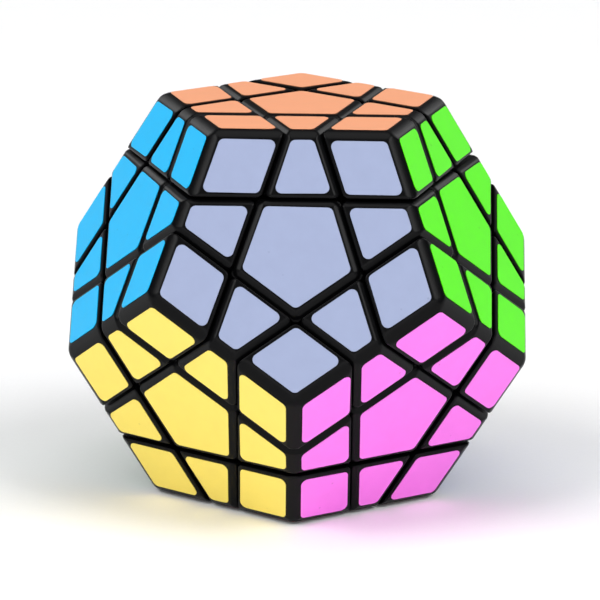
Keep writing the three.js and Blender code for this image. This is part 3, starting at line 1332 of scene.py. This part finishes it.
@dataclass
class Stickers:
    """The die-cut film on every face, eleven to a face, with rounded corners."""

    sizes: Proportions
    groove_margin: float = 1.17
    ridge_margin: float = 1.52
    corner_radius: float = 1.0
    corner_steps: int = 7
    thickness: float = 0.13
    softened: float = 0.04
    soften_above: float = math.radians(60.0)
    slip: float = 0.16
    skew: float = math.radians(0.6)
    seed: int = 12

    def outline(self, piece: Sequence[Face], face: Face, frame_of: Matrix) -> list[Vector]:
        """Find the outline of a piece's sticker.

        Args:
            piece: The faces that the piece shows on.
            face: The one that the sticker is on.
            frame_of: The face's own frame, Z outwards.

        Returns:
            The outline's corners in that frame, anticlockwise.
        """
        side = self.sizes.inradius
        square = ((-side, -side), (side, -side), (side, side), (-side, side))
        outline = [Vector(corner) for corner in square]
        x, y = frame_of.col[0].xyz, frame_of.col[1].xyz
        for other in face.neighbours:
            across = Vector((other.normal.dot(x), other.normal.dot(y)))
            level = other.normal.dot(face.normal) * side
            to_cut = (self.sizes.cut_height - level) / across.length
            to_ridge = (side - level) / across.length
            across.normalize()
            if other in piece:
                outline = self.clipped(outline, across, to_ridge - self.ridge_margin)
                outline = self.clipped(outline, -across, -(to_cut + self.groove_margin))
            else:
                outline = self.clipped(outline, across, to_cut - self.groove_margin)
        return outline

    @staticmethod
    def clipped(outline: list[Vector], across: Vector, limit: float) -> list[Vector]:
        """Keep the part of an outline that lies below a limit in a direction.

        Args:
            outline: The outline's corners, anticlockwise.
            across: The direction, of unit length.
            limit: How far the kept part may reach in it.

        Returns:
            The corners of what is kept, in the same order.
        """
        kept = []
        for start, end in zip(outline, outline[1:] + outline[:1]):
            a, b = start.dot(across) - limit, end.dot(across) - limit
            if a <= 0:
                kept.append(start)
            if a * b < 0:
                kept.append(start.lerp(end, a / (a - b)))
        return kept

    def laid(self, outline: list[Vector], hand: random.Random) -> list[Vector]:
        """Shift and turn an outline a little, as a sticker laid by hand lies.

        Args:
            outline: The outline's corners.
            hand: Where the chance comes from.

        Returns:
            The outline as it was laid.
        """
        middle = sum(outline, Vector((0, 0))) / len(outline)
        turn = Matrix.Rotation(hand.uniform(-self.skew, self.skew), 2)
        shift = Vector((hand.uniform(-self.slip, self.slip), hand.uniform(-self.slip, self.slip)))
        return [middle + shift + turn @ (corner - middle) for corner in outline]

    def recipe(self, material: bpy.types.Material) -> Recipe:
        """Round an outline's corners, fill it and give it its thickness.

        Args:
            material: The finish.

        Returns:
            The recipe, which works on flat outlines of loose edges.
        """
        sizes = {"Corner Radius": self.corner_radius * MM, "Thickness": self.thickness * MM}
        recipe = Recipe(material.name, sizes)
        line = recipe.add("GeometryNodeMeshToCurve", Mesh=recipe.given.outputs["Geometry"])
        rounded = add_node(
            recipe.tree,
            "GeometryNodeFilletCurve",
            {"mode": "POLY"},
            {
                "Curve": line,
                "Count": self.corner_steps,
                "Radius": recipe.size("Corner Radius"),
                "Limit Radius": True,
            },
        ).outputs[0]
        film = recipe.add("GeometryNodeFillCurve", {"mode": "NGONS"}, Curve=rounded)
        up = recipe.vector(z=1.0)
        raised = add_node(
            recipe.tree,
            "GeometryNodeExtrudeMesh",
            {"mode": "FACES"},
            {"Mesh": film, "Offset": up, "Offset Scale": recipe.size("Thickness"), "Individual": False},
        ).outputs[0]
        back = recipe.add("GeometryNodeFlipFaces", Mesh=film)
        closed = recipe.add("GeometryNodeJoinGeometry", Geometry=[raised, back])
        welded = recipe.add("GeometryNodeMergeByDistance", Geometry=closed, Distance=0.001 * MM)
        recipe.finish(welded, material)
        return recipe

    @staticmethod
    def drawn(outlines: Sequence[Sequence[Vector]]) -> bpy.types.Mesh:
        """Draw some outlines as loops of loose edges.

        Args:
            outlines: The corners of each, in millimetres.

        Returns:
            A flat mesh at height 0, in metres.
        """
        bm = bmesh.new()
        for outline in outlines:
            ring = [bm.verts.new((*point * MM, 0.0)) for point in outline]
            for a, b in zip(ring, ring[1:] + ring[:1]):
                bm.edges.new((a, b))
        return new_mesh("outlines", bm)

    def build(self) -> None:
        """Make the stickers of each face, one piece for each body that carries some of them."""
        places = [(face,) for face in Face] + faces_of(2) + faces_of(3)
        hand = random.Random(self.seed)
        softening = {
            "limit_method": "ANGLE",
            "angle_limit": self.soften_above,
            "width": self.softened * MM,
            "segments": 2,
        }
        count = 0
        for face in Face:
            ink = Ink[face.name]
            material = ink.vinyl.material()
            recipe = self.recipe(material)
            frame_of = turn_between((Face.U, Face.F), (face, face.neighbours[0]))
            lift = Matrix.Translation(face.normal * self.sizes.inradius * MM)
            for body in Body:
                outlines = [
                    self.laid(self.outline(piece, face, frame_of), hand)
                    for piece in places
                    if face in piece and Body.of(piece) is body
                ]
                if not outlines:
                    continue
                film = shaped(recipe.apply(self.drawn(outlines)), [("BEVEL", softening)])
                film.transform(lift @ frame_of)
                name = f"stickers_{face.name}_on_{body.value}"
                add_piece(name, smoothed(film), material, body, ink.slot)
                count += len(outlines)
        log.info("%d stickers", count)


# --- The studio --------------------------------------------------------------------------------------


@dataclass(frozen=True)
class Lamp:
    """A soft square light that looks at the puzzle: its place and side in metres, its power in watts."""

    name: str
    place: tuple[float, float, float]
    size: float
    power: float

    def build(self) -> None:
        """Hang the light."""
        data = bpy.data.lights.new(self.name, "AREA")
        data.shape = "SQUARE"
        data.size = self.size
        data.energy = self.power
        lamp = bpy.data.objects.new(self.name, data)
        place = Vector(self.place)
        lamp.matrix_world = Matrix.Translation(place) @ along(place)
        bpy.context.scene.collection.objects.link(lamp)


LAMPS = (
    Lamp("overhead", (0.0, 0.3, 4.4), 3.0, 49.0),
    Lamp("side_left", (-1.9, -1.1, 2.6), 1.6, 57.0),
    Lamp("side_right", (1.9, -1.1, 2.6), 1.6, 57.0),
    Lamp("back_left", (-1.45, 2.1, 1.05), 0.9, 5.5),
    Lamp("back_right", (1.45, 2.1, 1.05), 0.9, 5.5),
    Lamp("front_left", (-0.5, -1.55, 0.5), 0.9, 5.0),
    Lamp("front_right", (0.5, -1.55, 0.5), 0.9, 5.0),
)


@dataclass
class Studio:
    """A pale floor, soft lights and the camera, in metres, but paper fibre and lens in millimetres.

    The room's light falls from bright to dim between two heights of a unit direction.
    """

    floor_height: float
    floor_radius: float = 1.8
    fibre: float = 0.8
    bright: float = 1.0
    bright_below: float = 0.02
    dim: float = 0.1
    dim_above: float = 0.1
    azimuth: float = math.radians(0.7)
    elevation: float = math.radians(15.1)
    roll: float = math.radians(0.93)
    distance: float = 0.836
    lens: float = 292.6
    aim_right: float = 0.0002
    aim_up: float = -0.00106

    def camera(self) -> None:
        """Place the camera."""
        towards = Vector(
            (
                math.sin(self.azimuth) * math.cos(self.elevation),
                -math.cos(self.azimuth) * math.cos(self.elevation),
                math.sin(self.elevation),
            )
        )
        level = Vector((math.cos(self.azimuth), math.sin(self.azimuth), 0.0))
        above = towards.cross(level)
        right = math.cos(self.roll) * level + math.sin(self.roll) * above
        up = towards.cross(right)
        data = bpy.data.cameras.new("camera")
        data.lens = self.lens
        data.sensor_width = 36.0
        data.clip_start = 0.01
        camera = bpy.data.objects.new("camera", data)
        place = Matrix((right, up, towards)).transposed().to_4x4()
        place.translation = towards * self.distance + right * self.aim_right + up * self.aim_up
        camera.matrix_world = place
        bpy.context.scene.collection.objects.link(camera)
        bpy.context.scene.camera = camera

    def floor(self) -> None:
        """Lay the floor."""
        bm = bmesh.new()
        bmesh.ops.create_circle(bm, cap_ends=True, segments=96, radius=self.floor_radius)
        bm.transform(Matrix.Translation((0, 0, self.floor_height)))
        mesh = new_mesh("floor", bm)
        material, place = start_material("matt_white_paper")
        tree = material.node_tree
        fibres = {"Vector": place, "Scale": per_mm(self.fibre), "Detail": 2.0}
        fibre = add_node(tree, "ShaderNodeTexNoise", {}, fibres).outputs["Fac"]
        colour = add_node(
            tree, "ShaderNodeMix", RGBA, {0: fibre, 6: linear("#F8F8F8"), 7: linear("#FCFCFC")}
        )
        shader = add_node(
            tree, "ShaderNodeBsdfPrincipled", {}, {"Base Color": colour.outputs[2], "Roughness": 0.9}
        )
        mesh.materials.append(end_material(material, shader))
        floor = bpy.data.objects.new("floor", mesh)
        bpy.context.scene.collection.objects.link(floor)

    def world(self) -> None:
        """Fill the room with a dim pale light that is bright where the walls meet the floor."""
        world = bpy.data.worlds.new("room")
        world.use_nodes = True
        tree = world.node_tree
        tree.nodes.clear()
        towards = add_node(tree, "ShaderNodeTexCoord").outputs["Generated"]
        height = add_node(tree, "ShaderNodeSeparateXYZ", {}, {"Vector": towards}).outputs["Z"]
        strength = add_node(
            tree,
            "ShaderNodeMapRange",
            {"interpolation_type": "SMOOTHSTEP"},
            {
                "Value": height,
                "From Min": self.bright_below,
                "From Max": self.dim_above,
                "To Min": self.bright,
                "To Max": self.dim,
            },
        )
        glow = add_node(
            tree, "ShaderNodeBackground", {}, {"Color": linear("#F6F8FF"), "Strength": strength.outputs[0]}
        )
        add_node(tree, "ShaderNodeOutputWorld", {}, {"Surface": glow.outputs[0]})
        bpy.context.scene.world = world

    def build(self) -> None:
        """Set up the whole studio."""
        self.camera()
        self.floor()
        self.world()
        for lamp in LAMPS:
            lamp.build()
        bpy.context.scene.view_settings.view_transform = "Standard"


def main() -> None:
    """Build the puzzle and the studio."""
    inradius = -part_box("core_with_fixed_centres")[0][2] / MM
    log.info("inradius %.3f mm", inradius)
    sizes = Proportions(inradius)
    stickers = Stickers(sizes)
    Studio(-(inradius + stickers.thickness) * MM).build()
    abs_plastic = SHELL_ABS.material()
    shell = Shell(sizes)
    shell.build(abs_plastic)
    centres = Centres(shell)
    centres.build(abs_plastic)
    Hardware(centres).build(CORE_NYLON.material(), SCREW_STEEL.material(), SPRING_STEEL.material())
    stickers.build()


if __name__ == "__main__":
    main()
